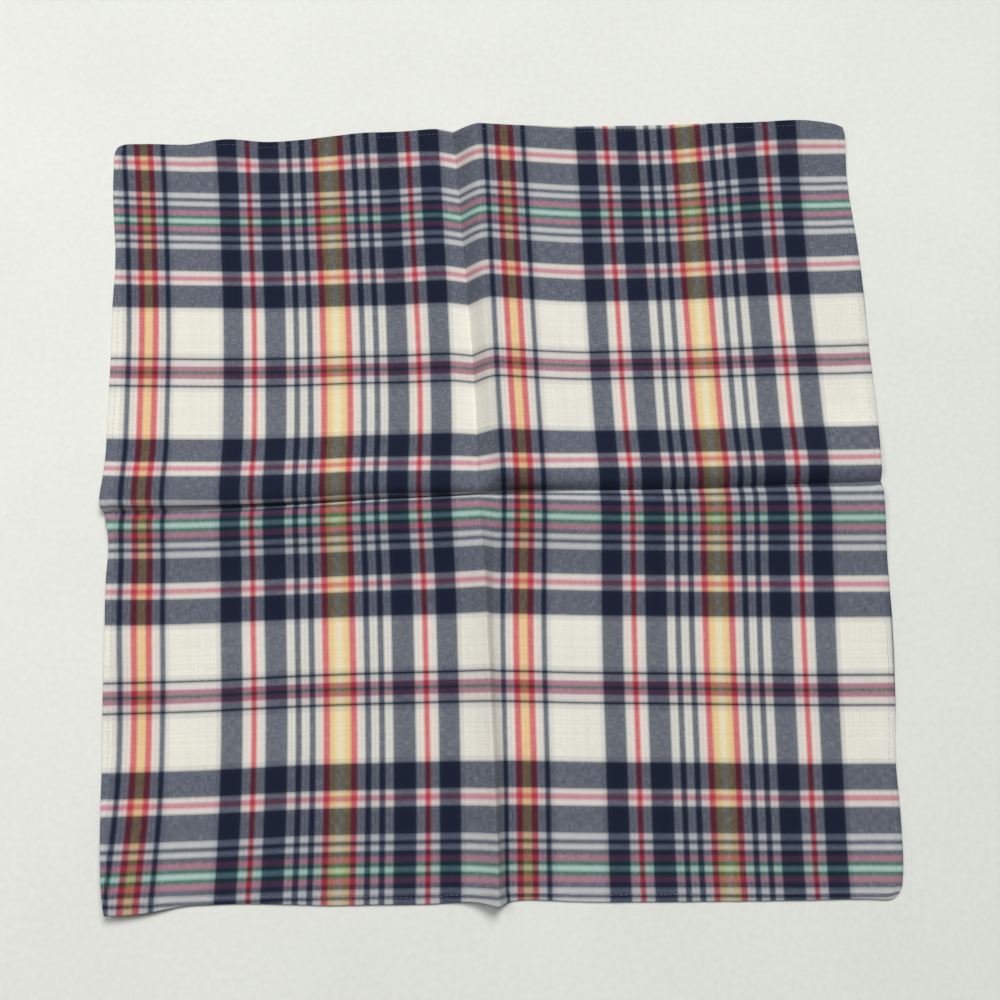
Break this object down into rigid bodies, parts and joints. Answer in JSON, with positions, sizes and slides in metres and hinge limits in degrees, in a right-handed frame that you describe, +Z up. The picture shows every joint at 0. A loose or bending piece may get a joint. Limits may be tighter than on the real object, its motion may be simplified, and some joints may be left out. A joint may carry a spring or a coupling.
{
  "type": "handkerchief",
  "caption": "Square of thin checked cotton with a narrow hem, lying open on its surface with the creases of a quarter fold still standing in it.",
  "frame": {"origin": "on the surface it lies on, under the middle of the cloth's box", "axes": "+Z up, +X to the right and +Y away from the viewer, as in the picture; the hems run nearly along X and Y"},
  "size_m": [0.3982, 0.4026, 0.012],
  "materials": {
    "plaid_cotton": "matte plain weave"
  },
  "bodies": {
    "root": {"handkerchief": "plaid_cotton"}
  },
  "joints": []
}
